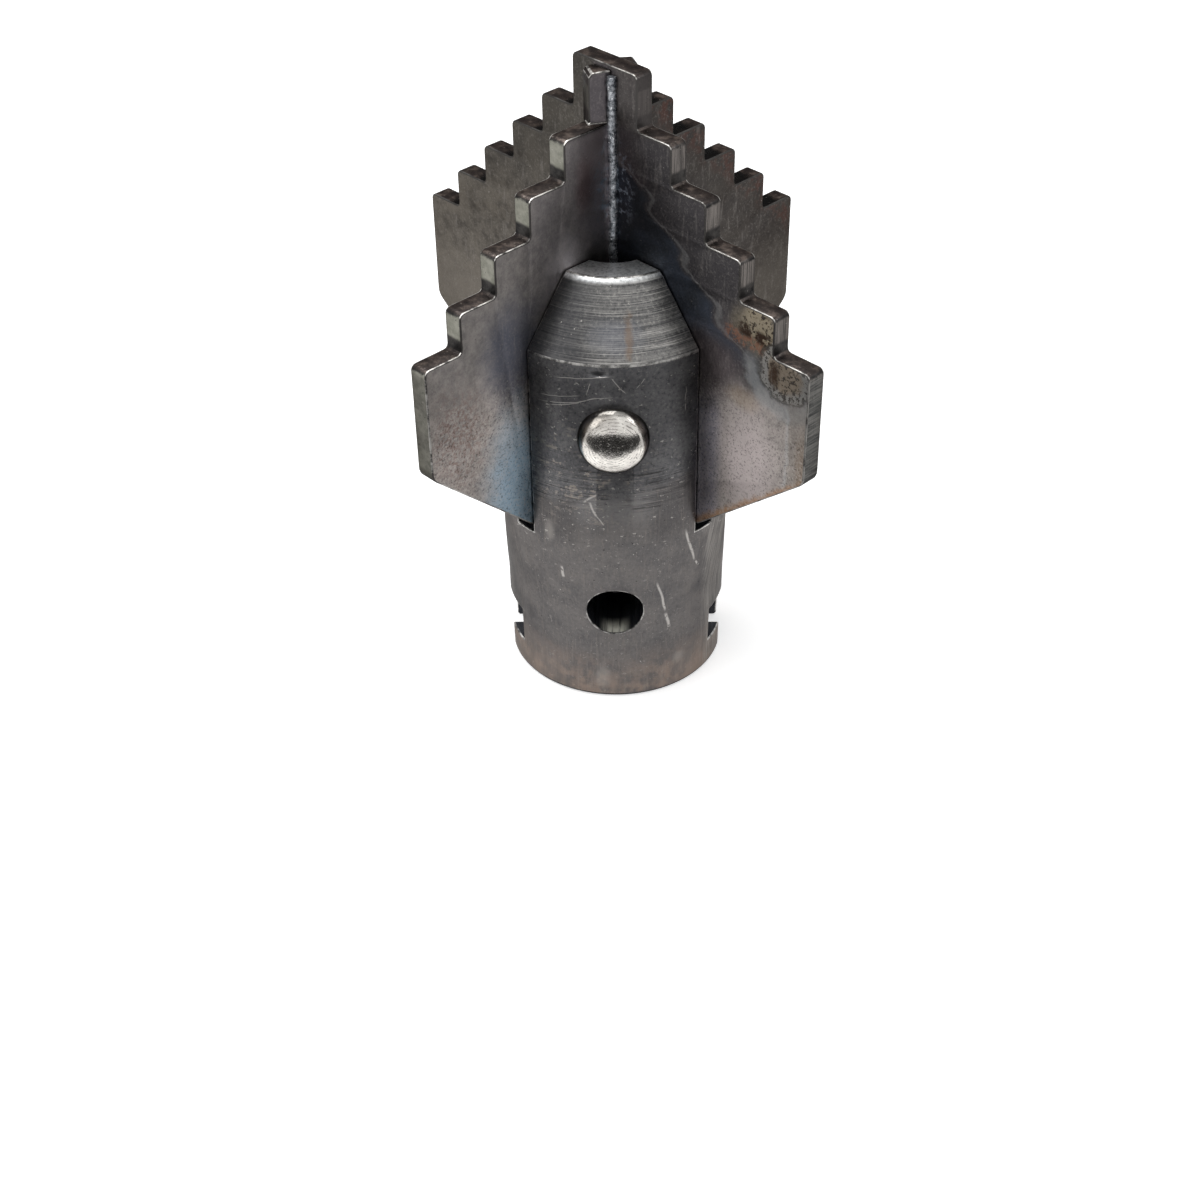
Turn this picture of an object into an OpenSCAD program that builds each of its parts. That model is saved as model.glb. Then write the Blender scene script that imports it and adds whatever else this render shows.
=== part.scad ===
// Cross blade cutter head for a drain spiral, with a T-slot coupling.
// Two stepped, toothed blades are lapped into a cross, sit in four slots of a
// turned coupling body, and are held by one cross rivet and four corner welds.
// Origin: centre of the coupling's lower face. +Z runs up the tool to the tip.
// The rivet and the release key hole face -Y, and the T-slot runs along X.

/* [Coupling body] */
// Outer diameter of the coupling body
body_d = 22; // [20:0.5:26]
// Height of the straight part, from the lower face to the base of the nose
body_h = 35.8; // [32:0.2:38]
// Height of the cone on top of the straight part
nose_h = 5.6; // [4:0.2:8]
// Diameter of the flat ring on top of the cone
nose_d = 13.4; // [12:0.2:16]
// Diameter of the axial bore
bore_d = 7.8; // [6:0.2:9]
// Height below which the body narrows and has its two flats
low_h = 18; // [15:0.2:20]
// Height at which it has narrowed to the coupling's own radius
taper_h = 9.5; // [8:0.5:9.5]
// How much smaller the coupling's radius is than the body's
low_cut = 1; // [0.2:0.1:1.4]
// How much smaller again the radius is at the lower rim
foot_cut = 0.15; // [0.05:0.05:0.4]
// Width across the flats ground on the left and right sides
flat_w = 19.6; // [18.4:0.2:20.8]
// Bevel round the lower rim
rim_bevel = 0.2; // [0.1:0.1:0.6]
// Bevel at the edge between the cone and its flat ring
nose_bevel = 0.4; // [0.2:0.1:0.8]

/* [T-slot] */
// Width of the neck between the two lips
neck_w = 4.6; // [3.6:0.2:6]
// Width of the wide part above the lips
tee_w = 10; // [8:0.2:13]
// Thickness of the lips, measured along the axis
lip_h = 2.8; // [2:0.2:3.4]
// Height of the wide part
tee_h = 3.6; // [3:0.2:4]

/* [Release key hole] */
// Diameter of the hole in the front wall
key_d = 5; // [4:0.2:5.6]
// Height of the hole's centre over the lower face
key_z = 10; // [9.6:0.2:12]

/* [Blades] */
// Thickness of the blade plate
blade_t = 1.8; // [1.4:0.1:2.4]
// Width of the first blade across its lowest teeth
span_a = 45; // [40:1:56]
// Width of the second blade across its lowest teeth
span_b = 43; // [38:1:54]
// Width of the first blade's tip tooth
tip_a = 7.2; // [6:0.2:9]
// Width of the second blade's tip, at the foot of its two folded teeth
tip_b = 4.6; // [4:0.2:6]
// Width of each folded tip tooth
fold_w = 1.9; // [1.4:0.1:2.4]
// Angle between a folded tip tooth and the XZ plane
fold_turn = 16; // [0:2:30]
// Number of teeth on each side, with the tip tooth
teeth = 6; // [4:1:8]
// Height of the tip over the coupling's lower face
tip_z = 57; // [52:0.5:64]
// Height of the tip tooth
tip_h = 4.6; // [3.6:0.2:6]
// Rise from one tooth to the next
tooth_h = 3.55; // [2.4:0.05:3.8]
// Radius on the outer corner of each tooth
tooth_r = 0.5; // [0.3:0.1:1.2]
// Radius in the root of each notch
root_r = 0.4; // [0.2:0.1:0.6]
// Length of the straight outer edge below the lowest tooth
edge_h = 10.2; // [6:0.2:12]
// Radius on the corner between the straight edge and the tapered lower edge
heel_r = 1.2; // [0.4:0.2:2.4]
// Height at which the tapered lower edge reaches the body
foot_z = 18.4; // [16:0.2:20]

/* [Fits] */
// Gap on each side of a blade in the body's slots
slot_gap = 0.1; // [0.05:0.05:0.3]
// Length of slot left open below the blade's foot
slot_end = 0.8; // [0.4:0.1:1.5]
// Gap on each side where one blade passes through the other
lap_gap = 0.05; // [0.03:0.01:0.2]
// Height at which the two half laps meet
lap_z = 36; // [33:0.5:40]
// Gap left between the ends of the two half laps
lap_end = 0.2; // [0.1:0.1:0.6]
// Gap round the rivet in its holes
rivet_gap = 0.05; // [0.03:0.01:0.2]

/* [Cross rivet] */
// Diameter of the rivet's shank
rivet_d = 4; // [3:0.2:5]
// Diameter of the domed heads
head_d = 6.1; // [5.6:0.1:8]
// Height of the domed heads
head_h = 1.2; // [0.8:0.1:1.8]
// Height of the rivet's axis over the lower face
rivet_z = 28.8; // [25:0.2:31]

/* [Welds] */
// Length of each weld's legs on the two blades
weld_leg = 0.5; // [0.4:0.05:1.2]
// Depth to which the welds reach into the bore
weld_dip = 2; // [1:0.5:4]
// Distance from the tip to the top of the two long welds
weld_top = 0.7; // [0.4:0.1:2]
// Distance from the second tooth's top down to the two short welds
weld_step = 0.5; // [0.3:0.1:2]

/* [Hidden] */
$fn = 64;
body_r = body_d / 2;
low_r = body_r - low_cut;
foot_r = low_r - foot_cut;
nose_r = nose_d / 2;
nose_z = body_h + nose_h;
tee_z = lip_h + tee_h;
slot_z = foot_z - slot_end;
step_z = tip_z - tip_h;
low_z = step_z - (teeth - 2) * tooth_h;
edge_z = low_z - edge_h;
// Distance from the axis to the corner line between two blades
corner_y = blade_t / 2 * sqrt(2);
// The first blade runs from back left to front right, the second from front left to back right
turn_a = -45;
turn_b = 45;
steel = [0.36, 0.34, 0.33];
turned = [0.52, 0.50, 0.48];
bright = [0.74, 0.73, 0.71];
bead = [0.62, 0.62, 0.63];

// Points of an arc, from angle a to angle b
function arc(cx, cy, r, a, b, n = 4) =
    [for (i = [0:n]) [cx + r * cos(a + (b - a) * i / n), cy + r * sin(a + (b - a) * i / n)]];

// Half width and top height of tooth i, counted from the tip tooth 0
function reach(i, span, tip) = tip / 2 + i * (span - tip) / 2 / (teeth - 1);
function top(i) = i == 0 ? tip_z : step_z - (i - 1) * tooth_h;

// One side of a blade's stair, from the tip tooth down to the lowest one
function stair(span, tip) = [for (i = [0:teeth - 1]) each concat(
    i == 0 ? [] : arc(reach(i - 1, span, tip) + root_r, top(i) + root_r, root_r, 180, 270, 3),
    arc(reach(i, span, tip) - tooth_r, top(i) - tooth_r, tooth_r, 90, 0))];

// The rounded heel between a blade's straight edge and its taper
function heel(span) =
    let (slope = atan2(edge_z - foot_z, span / 2 - body_r))
    arc(span / 2 - heel_r, edge_z + heel_r * tan(45 - slope / 2), heel_r, 0, slope - 90);

// Right half of a blade's outline: stair, straight edge, heel, taper to the body
function half(span, tip) = concat(
    stair(span, tip),
    heel(span),
    [[body_r, foot_z]]);

// The whole outline: the right half, and the same points mirrored, in reverse order
module outline(span, tip) {
    h = half(span, tip);
    polygon(concat(h, [for (i = [len(h) - 1:-1:0]) [-h[i][0], h[i][1]]]));
}

// A plate standing on edge, centred on its own thickness
module plate(span, tip) {
    rotate([90, 0, 0])
        linear_extrude(height = blade_t, center = true)
            outline(span, tip);
}

// The rivet's hole, along Y, for any piece that it passes through
module rivet_hole() {
    translate([0, 0, rivet_z])
        rotate([90, 0, 0])
            cylinder(d = rivet_d + 2 * rivet_gap, h = body_d * 2, center = true);
}

// The half lap: a slot one plate thick, from z0 to z1
module lap(z0, z1) {
    w = blade_t + 2 * lap_gap;
    translate([-w / 2, -body_r, z0])
        cube([w, body_d, z1 - z0]);
}

module blade_lapped_below() {
    color(steel)
        difference() {
            rotate([0, 0, turn_a])
                difference() {
                    plate(span_a, tip_a);
                    lap(foot_z - 1, lap_z + lap_end / 2);
                }
            rivet_hole();
        }
}

// Each tip tooth of the second blade is folded round the corner line, towards the first blade
module folded_tooth() {
    intersection() {
        translate([0, -corner_y, 0])
            rotate([90, 0, fold_turn])
                translate([0, 0, -blade_t])
                    linear_extrude(height = blade_t)
                        polygon([
                            [0, step_z - fold_w * 0.7],
                            [0, tip_z - 0.3],
                            [-fold_w + 0.3, tip_z - 0.4],
                            [-fold_w, tip_z - 0.8],
                            [-fold_w, step_z - fold_w * 0.2]]);
        rotate([0, 0, turn_a])
            translate([-body_r, -body_r - blade_t / 2 - lap_gap, 0])
                cube([body_d, body_r, tip_z]);
    }
}

module blade_lapped_above() {
    color(steel)
        difference() {
            union() {
                rotate([0, 0, turn_b])
                    difference() {
                        plate(span_b, tip_b);
                        lap(lap_z - lap_end / 2, tip_z + 1);
                        translate([-tip_b, -blade_t, step_z])
                            cube([tip_b * 2, blade_t * 2, tip_h + 1]);
                    }
                for (a = [0, 180])
                    rotate([0, 0, a])
                        folded_tooth();
            }
            rivet_hole();
        }
}

module coupling_body() {
    slot_w = blade_t + 2 * slot_gap;
    color(turned)
        difference() {
            rotate_extrude()
                polygon([
                    [0, 0],
                    [foot_r - rim_bevel, 0],
                    [foot_r, rim_bevel],
                    [low_r, taper_h],
                    [body_r, low_h],
                    [body_r, body_h],
                    [nose_r + nose_bevel / 2, nose_z - nose_bevel],
                    [nose_r - nose_bevel / 2, nose_z],
                    [0, nose_z]]);
            // flats on the left and right
            for (side = [0, 180])
                rotate([0, 0, side])
                    translate([flat_w / 2, -body_d, -1])
                        cube([body_d, body_d * 2, low_h + 1]);
            // axial bore, from the nose down into the T-slot
            translate([0, 0, tee_z - 0.5])
                cylinder(d = bore_d, h = nose_z);
            // neck and wide part of the T-slot, open at both sides
            translate([-body_d, -neck_w / 2, -1])
                cube([body_d * 2, neck_w, lip_h + 2]);
            translate([-body_d, -tee_w / 2, lip_h])
                cube([body_d * 2, tee_w, tee_h]);
            // release key hole, through the front wall only
            translate([0, 0, key_z])
                rotate([90, 0, 0])
                    cylinder(d = key_d, h = body_d);
            // four slots for the blades
            for (a = [turn_a, turn_b])
                rotate([0, 0, a])
                    translate([-body_d, -slot_w / 2, slot_z])
                        cube([body_d * 2, slot_w, nose_z]);
            rivet_hole();
        }
}

// A domed head, turned about the rivet's axis, with its inner side cut to the round body
module head() {
    dome_r = (pow(head_d / 2, 2) + pow(head_h, 2)) / 2 / head_h;
    difference() {
        translate([0, 0, rivet_z])
            rotate([90, 0, 0])
                rotate_extrude()
                    polygon(concat(
                        [[0, body_r - 2], [head_d / 2, body_r - 2]],
                        [for (i = [0:8]) let (x = head_d / 2 * cos(i * 90 / 8))
                            [x, body_r + 0.2 + head_h - dome_r + sqrt(pow(dome_r, 2) - pow(x, 2))]]));
        cylinder(r = body_r, h = rivet_z + head_d);
    }
}

module cross_rivet() {
    color(bright)
        union() {
            translate([0, 0, rivet_z])
                rotate([90, 0, 0])
                    cylinder(d = rivet_d, h = body_d + head_h, center = true);
            for (a = [0, 180])
                rotate([0, 0, a])
                    head();
        }
}

// A weld bead along the corner between two blades
module weld(z0, z1) {
    translate([0, -corner_y - lap_gap, z0])
        linear_extrude(height = z1 - z0)
            polygon(concat([[0, 0]], arc(0, 0, weld_leg, 225, 315, 6)));
}

module weld_front() {
    color(bead)
        weld(nose_z - weld_dip, tip_z - weld_top);
}

module weld_back() {
    color(bead)
        rotate([0, 0, 180])
            weld(nose_z - weld_dip, tip_z - weld_top);
}

module weld_left() {
    color(bead)
        rotate([0, 0, -90])
            weld(nose_z - weld_dip, step_z - weld_step);
}

module weld_right() {
    color(bead)
        rotate([0, 0, 90])
            weld(nose_z - weld_dip, step_z - weld_step);
}

coupling_body();
blade_lapped_below();
blade_lapped_above();
cross_rivet();
weld_front();
weld_back();
weld_left();
weld_right();
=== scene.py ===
"""Cross blade cutter head for a drain spiral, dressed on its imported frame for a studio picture."""

import math
import random

import bpy
from mathutils import Euler, Matrix, Vector, noise


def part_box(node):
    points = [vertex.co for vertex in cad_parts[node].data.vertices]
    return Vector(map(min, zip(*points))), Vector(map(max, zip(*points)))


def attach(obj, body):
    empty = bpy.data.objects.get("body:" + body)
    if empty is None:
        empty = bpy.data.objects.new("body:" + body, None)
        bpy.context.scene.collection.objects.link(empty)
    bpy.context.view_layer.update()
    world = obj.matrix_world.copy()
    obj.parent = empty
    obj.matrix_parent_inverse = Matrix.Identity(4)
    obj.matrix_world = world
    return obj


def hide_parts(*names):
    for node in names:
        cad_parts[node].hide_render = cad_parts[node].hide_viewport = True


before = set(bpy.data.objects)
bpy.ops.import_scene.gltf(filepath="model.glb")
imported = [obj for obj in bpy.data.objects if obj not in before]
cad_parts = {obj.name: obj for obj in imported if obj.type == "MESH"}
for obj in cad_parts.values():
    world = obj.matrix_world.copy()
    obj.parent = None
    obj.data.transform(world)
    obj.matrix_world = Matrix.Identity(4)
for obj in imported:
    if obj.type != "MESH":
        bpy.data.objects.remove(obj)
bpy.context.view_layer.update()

# The coupling body is one turned piece of blackened tool steel: a straight tube with a bare cone
# on top, four milled slots for the blades, a release key hole and a T-slot at its foot. A merged
# copy stands for it, with its sharp edges broken as a deburring stone leaves them.

MM = 0.001
cone_base = 35.8
nose_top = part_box("coupling_body")[1].z / MM
flat_half = 9.8
stoned_width = 0.12
sharp_angle = math.radians(35)
smooth_angle = math.radians(24)


def pick_out(piece):
    """Make one object the only selected one, and the active one."""
    bpy.ops.object.select_all(action="DESELECT")
    piece.select_set(True)
    bpy.context.view_layer.objects.active = piece


def stoned_copy(node, name, edge_width, is_cut, finishes):
    """A merged copy of a node: cut faces in the third finish, each sharp edge bevelled in the second."""
    piece = bpy.data.objects.new(name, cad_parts[node].data.copy())
    bpy.context.scene.collection.objects.link(piece)
    pick_out(piece)
    piece.data.materials.clear()
    for finish in finishes:
        piece.data.materials.append(finish)
    bpy.ops.object.mode_set(mode="EDIT")
    bpy.ops.mesh.select_all(action="SELECT")
    bpy.ops.mesh.customdata_custom_splitnormals_clear()
    bpy.ops.mesh.remove_doubles(threshold=2e-6)
    bpy.ops.mesh.dissolve_limited(angle_limit=math.radians(0.6))
    bpy.ops.mesh.faces_shade_smooth()
    bpy.ops.object.mode_set(mode="OBJECT")
    for face in piece.data.polygons:
        face.material_index = 2 if is_cut(face) else 0
    bevel = piece.modifiers.new("stoned edges", "BEVEL")
    bevel.width = edge_width * MM
    bevel.segments = 2
    bevel.limit_method = "ANGLE"
    bevel.angle_limit = sharp_angle
    bevel.use_clamp_overlap = False
    bevel.material = 1
    bpy.ops.object.modifier_apply(modifier=bevel.name)
    bpy.ops.object.shade_smooth_by_angle(angle=smooth_angle)
    return piece


class Finish:
    """A node material that is being mixed. Its lengths are millimetres in the part's own frame."""

    def __init__(self, name, metal, gloss_loss):
        self.material = bpy.data.materials.new(name)
        self.material.use_nodes = True
        self.tree = self.material.node_tree
        self.skin = self.tree.nodes["Principled BSDF"]
        self.skin.inputs["Metallic"].default_value = metal
        self.skin.inputs["Roughness"].default_value = gloss_loss
        self.skin.inputs["Specular Tint"].default_value = (0.35, 0.35, 0.35, 1)
        frame_place = self.add("ShaderNodeTexCoord")
        in_mm = self.add("ShaderNodeVectorMath", operation="SCALE")
        in_mm.inputs["Scale"].default_value = 1 / MM
        self.feed(in_mm.inputs[0], frame_place.outputs["Object"])
        self.place = in_mm.outputs[0]
        self.x, self.y, self.z = self.split(self.place)
        self.lean_z = self.split(frame_place.outputs["Normal"])[2]

    def add(self, kind, **settings):
        node = self.tree.nodes.new(kind)
        for setting, value in settings.items():
            setattr(node, setting, value)
        return node

    def feed(self, socket, value):
        if isinstance(value, bpy.types.NodeSocket):
            self.tree.links.new(value, socket)
        else:
            socket.default_value = value

    def split(self, vector):
        parts = self.add("ShaderNodeSeparateXYZ")
        self.feed(parts.inputs[0], vector)
        return parts.outputs[0], parts.outputs[1], parts.outputs[2]

    def maths(self, operation, first, second=0.0):
        node = self.add("ShaderNodeMath", operation=operation)
        self.feed(node.inputs[0], first)
        self.feed(node.inputs[1], second)
        return node.outputs[0]

    def times(self, *values):
        product = values[0]
        for value in values[1:]:
            product = self.maths("MULTIPLY", product, value)
        return product

    def plus(self, *values):
        total = values[0]
        for value in values[1:]:
            total = self.maths("ADD", total, value)
        return total

    def fade(self, value, start, end, low=0.0, high=1.0):
        """A smooth step from low, where value is at start, to high, where it is at end."""
        node = self.add("ShaderNodeMapRange", interpolation_type="SMOOTHSTEP")
        for socket, number in zip(node.inputs, (value, start, end, low, high)):
            self.feed(socket, number)
        return node.outputs[0]

    def band(self, value, middle, half_width, softness):
        """One within half_width of the middle, and nothing beyond its soft border."""
        away = self.maths("ABSOLUTE", self.plus(value, -middle))
        return self.fade(away, half_width + softness, half_width)

    def grain(self, scale, detail=3.0, roughness=0.55, stretch=(1, 1, 1), shift=(0, 0, 0)):
        """Noise from 0 to 1. The scale counts grains in a millimetre, and stretch lengthens them."""
        spread = self.add("ShaderNodeMapping")
        self.feed(spread.inputs["Vector"], self.place)
        spread.inputs["Scale"].default_value = [1 / side for side in stretch]
        spread.inputs["Location"].default_value = shift
        node = self.add("ShaderNodeTexNoise")
        self.feed(node.inputs["Vector"], spread.outputs[0])
        node.inputs["Scale"].default_value = scale
        node.inputs["Detail"].default_value = detail
        node.inputs["Roughness"].default_value = roughness
        return node.outputs["Fac"]

    def tint(self, share, under, over):
        """The first colour, covered by the second one as far as share says."""
        node = self.add("ShaderNodeMix", data_type="RGBA")
        self.feed(node.inputs["Factor"], share)
        for socket, colour in ((node.inputs["A"], under), (node.inputs["B"], over)):
            self.feed(socket, (*colour, 1.0) if isinstance(colour, tuple) else colour)
        return node.outputs["Result"]

    def spot(self, across, up, middle, size, raggedness=0.0, scale=0.5):
        """A soft oval patch, 1 in its middle and 0 at its border."""
        sides = [self.times(self.plus(value, -centre), 1 / half)
                 for value, centre, half in zip((across, up), middle, size)]
        reach = self.maths("SQRT", self.plus(*[self.times(side, side) for side in sides]))
        if raggedness:
            reach = self.plus(reach, self.times(self.plus(self.grain(scale, 4.0), -0.5), raggedness))
        return self.fade(reach, 1.0, 0.25)

    def scratch(self, across, up, start, end, half_width):
        """One straight scratch from start to end, thinning out at both."""
        run = Vector(end) - Vector(start)
        length = run.length
        run.normalize()
        first = self.plus(across, -start[0])
        second = self.plus(up, -start[1])
        along = self.plus(self.times(first, run.x), self.times(second, run.y))
        beside = self.plus(self.times(first, -run.y), self.times(second, run.x))
        wander = self.times(self.plus(self.grain(0.4, 2.0, 0.5), -0.5), 0.6)
        width = self.fade(self.maths("ABSOLUTE", self.plus(beside, wander)), half_width, 0.2 * half_width)
        ends = self.times(self.fade(along, 0.0, 0.2 * length), self.fade(along, length, 0.85 * length))
        return self.times(width, ends, self.fade(self.grain(2.2, 3.0, 0.6), 0.3, 0.44))

    def specks(self, scale, start, end, shift=(0, 0, 0)):
        """Scattered dots: the sparse peaks of a fine noise, or its hollows where end is below start."""
        return self.fade(self.grain(scale, 2.0, 0.5, shift=shift), start, end)

    def carve(self, height, depth):
        """Raise the surface by depth millimetres where height is 1, on top of what is carved already."""
        bump = self.add("ShaderNodeBump")
        bump.inputs["Strength"].default_value = 1.0
        bump.inputs["Distance"].default_value = depth * MM
        self.feed(bump.inputs["Height"], height)
        if self.skin.inputs["Normal"].links:
            self.feed(bump.inputs["Normal"], self.skin.inputs["Normal"].links[0].from_socket)
        self.feed(self.skin.inputs["Normal"], bump.outputs[0])

    def coat(self, colour, gloss_loss=None):
        self.feed(self.skin.inputs["Base Color"], colour)
        if gloss_loss is not None:
            self.feed(self.skin.inputs["Roughness"], gloss_loss)


def blackened_steel():
    steel = Finish("blackened_turned_steel", 0.92, 0.4)
    mottle = steel.grain(0.35, 6.0, 0.65)
    speckle = steel.grain(3.4, 5.0, 0.72)
    bands = steel.grain(1.0, 3.0, 0.6, stretch=(30, 30, 0.5), shift=(5, 2, 0))
    hairs = steel.grain(1.0, 5.0, 0.8, stretch=(12, 12, 0.075))
    strokes = steel.grain(1.6, 4.0, 0.7, stretch=(0.35, 0.35, 4.0))

    # Under the rivet the black coat has rubbed away to a brownish grey
    coat_edge = steel.plus(steel.z, steel.times(mottle, 5.0), steel.times(steel.x, -0.12))
    coated = steel.fade(coat_edge, 24.6, 26.4)
    black = steel.tint(steel.fade(mottle, 0.3, 0.75), (0.092, 0.091, 0.096), (0.150, 0.149, 0.152))
    brown = steel.tint(steel.fade(mottle, 0.3, 0.72), (0.095, 0.091, 0.092), (0.152, 0.142, 0.138))
    by_rivet = steel.fade(steel.z, 19.0, 22.5)
    by_rivet = steel.times(by_rivet, steel.fade(steel.maths("ABSOLUTE", steel.x), 6.0, 2.5))
    brown = steel.tint(steel.times(by_rivet, 0.7), brown, (0.205, 0.20, 0.20))
    beside_it = steel.times(
        steel.band(steel.maths("ABSOLUTE", steel.x), 5.2, 1.2, 1.6), steel.fade(steel.z, 16.5, 19.5))
    brown = steel.tint(steel.times(beside_it, 0.5), brown, (0.062, 0.058, 0.059))
    brown = steel.tint(steel.times(steel.fade(strokes, 0.5, 0.72), 0.45), brown, (0.19, 0.17, 0.155))
    colour = steel.tint(coated, brown, black)
    speckle_share = steel.fade(coated, 0.0, 1.0, 0.4, 1.0)
    colour = steel.tint(
        steel.times(steel.fade(speckle, 0.52, 0.66), speckle_share, 0.24), colour, (0.30, 0.285, 0.27))
    colour = steel.tint(
        steel.times(steel.fade(speckle, 0.48, 0.35), speckle_share, 0.45), colour, (0.024, 0.023, 0.024))
    colour = steel.tint(steel.times(steel.specks(7.0, 0.69, 0.75), 0.6), colour, (0.36, 0.34, 0.32))
    colour = steel.tint(
        steel.times(steel.specks(5.0, 0.31, 0.25, (3, 8, 5)), 0.7), colour, (0.014, 0.014, 0.015))

    # The foot is browner, and rubbed brighter where the spiral's coupling slides on
    foot = steel.fade(steel.plus(steel.z, steel.times(mottle, 5.0)), 8.5, 3.0)
    stained = steel.grain(0.6, 5.0, 0.65, shift=(3, 3, 1))
    foot_brown = steel.tint(steel.fade(stained, 0.36, 0.62), (0.125, 0.112, 0.106), (0.27, 0.205, 0.168))
    foot_brown = steel.tint(
        steel.times(steel.fade(strokes, 0.45, 0.7), 0.3), foot_brown, (0.28, 0.25, 0.23))
    colour = steel.tint(steel.times(foot, 0.75), colour, foot_brown)
    foot_sides = steel.times(steel.fade(steel.maths("ABSOLUTE", steel.x), 3.5, 7.5), foot)
    colour = steel.tint(steel.times(foot_sides, 0.4), colour, (0.30, 0.25, 0.22))

    # The flats on both sides, and what lies beside them, show the strokes of the grinding wheel
    beside = steel.fade(steel.maths("ABSOLUTE", steel.x), 7.4, 8.6)
    ground = steel.times(beside, steel.fade(steel.z, cone_base, 17.0))
    wheel = steel.grain(1.0, 4.0, 0.6, stretch=(3.0, 0.13, 6.0), shift=(0, 4, 9))
    ground_share = steel.fade(steel.x, -6.0, 6.0, 0.15, 0.55)
    colour = steel.tint(
        steel.times(ground, steel.fade(wheel, 0.36, 0.66), ground_share), colour, (0.38, 0.36, 0.335))

    # The cone was turned last and has no coat: its tool marks lie open
    bare = steel.fade(steel.z, cone_base - 0.1, cone_base + 0.15)
    turned = steel.tint(steel.fade(hairs, 0.34, 0.68), (0.085, 0.085, 0.087), (0.255, 0.25, 0.24))
    turned = steel.tint(steel.times(steel.fade(bands, 0.46, 0.62), 0.35), turned, (0.25, 0.245, 0.235))
    turned = steel.tint(steel.times(steel.fade(bands, 0.5, 0.36), 0.3), turned, (0.07, 0.07, 0.073))
    turned = steel.tint(steel.times(steel.fade(speckle, 0.52, 0.66), 0.5), turned, (0.40, 0.385, 0.36))
    turned = steel.tint(steel.times(steel.fade(speckle, 0.48, 0.36), 0.45), turned, (0.035, 0.035, 0.036))
    lines = steel.fade(steel.grain(1.0, 2.0, 0.5, shift=(4, 4, 2), stretch=(7, 7, 0.045)), 0.6, 0.68)
    turned = steel.tint(steel.times(lines, 0.7), turned, (0.62, 0.60, 0.57))
    grooves = steel.fade(steel.grain(1.0, 2.0, 0.5, shift=(1, 8, 3), stretch=(8, 8, 0.05)), 0.4, 0.32)
    turned = steel.tint(steel.times(grooves, 0.7), turned, (0.03, 0.03, 0.031))
    # Painted dark reflection of the left wing on the cone's left side
    cone_left_dark_reflection = steel.fade(steel.x, 0.5, -3.8)
    turned = steel.tint(steel.times(cone_left_dark_reflection, 0.8), turned, (0.030, 0.030, 0.033))
    # A painted bluish sheen on the front of the cone
    painted_cone_sheen = steel.spot(steel.x, steel.z, (0.2, 37.6), (3.0, 1.6), 0.8)
    turned = steel.tint(steel.times(painted_cone_sheen, 0.35), turned, (0.17, 0.18, 0.215))
    rust = steel.spot(steel.x, steel.z, (1.3, 37.6), (0.5, 2.2), 1.6, 1.6)
    turned = steel.tint(steel.times(rust, 0.5), turned, (0.22, 0.145, 0.09))
    colour = steel.tint(bare, colour, turned)
    # The bare ring round the nose is pale turned steel, made paler still by a painted highlight
    ring = steel.fade(steel.z, nose_top - 0.5, nose_top - 0.15)
    nose_ring_highlight_grey = steel.tint(steel.fade(speckle, 0.3, 0.6), (0.42, 0.43, 0.435), (0.88, 0.89, 0.89))
    colour = steel.tint(steel.times(ring, 0.9), colour, nose_ring_highlight_grey)

    # A lens-shaped pit under the cone
    pit = steel.times(
        steel.spot(steel.x, steel.z, (-1.15, cone_base - 0.75), (0.95, 0.36)),
        steel.fade(steel.y, -9.0, -10.0))
    colour = steel.tint(steel.times(pit, 0.85), colour, (0.02, 0.02, 0.022))

    # Scratches: each runs from one place on the front (across, up) to another
    front = steel.fade(steel.y, -1.0, -2.0)
    for start, end, half_width in (
        ((6.1, 18.5), (7.1, 14.0), 0.15), ((7.1, 14.0), (7.4, 13.2), 0.12),
        ((3.7, 13.2), (4.4, 9.1), 0.14), ((4.4, 9.1), (4.8, 7.1), 0.2),
        ((-2.7, 22.3), (-1.4, 23.3), 0.12), ((-2.1, 22.5), (-1.4, 20.9), 0.15),
        ((-1.5, 21.1), (-0.9, 20.0), 0.08), ((-4.7, 14.8), (-4.4, 13.4), 0.16),
        ((-5.0, 34.15), (0.1, 34.9), 0.05), ((-6.4, 31.4), (0.2, 33.0), 0.05),
        ((-5.8, 31.2), (-1.2, 32.75), 0.045), ((-6.2, 32.1), (-2.6, 32.9), 0.04),
        ((-0.2, 34.8), (1.1, 33.2), 0.06), ((-1.8, 34.2), (-2.3, 33.0), 0.05),
        ((5.9, 33.0), (5.9, 30.4), 0.05), ((2.6, 34.6), (1.9, 33.6), 0.05),
    ):
        mark = steel.times(steel.scratch(steel.x, steel.z, start, end, half_width), front)
        colour = steel.tint(steel.times(mark, 0.85), colour, (0.44, 0.42, 0.40))
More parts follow.
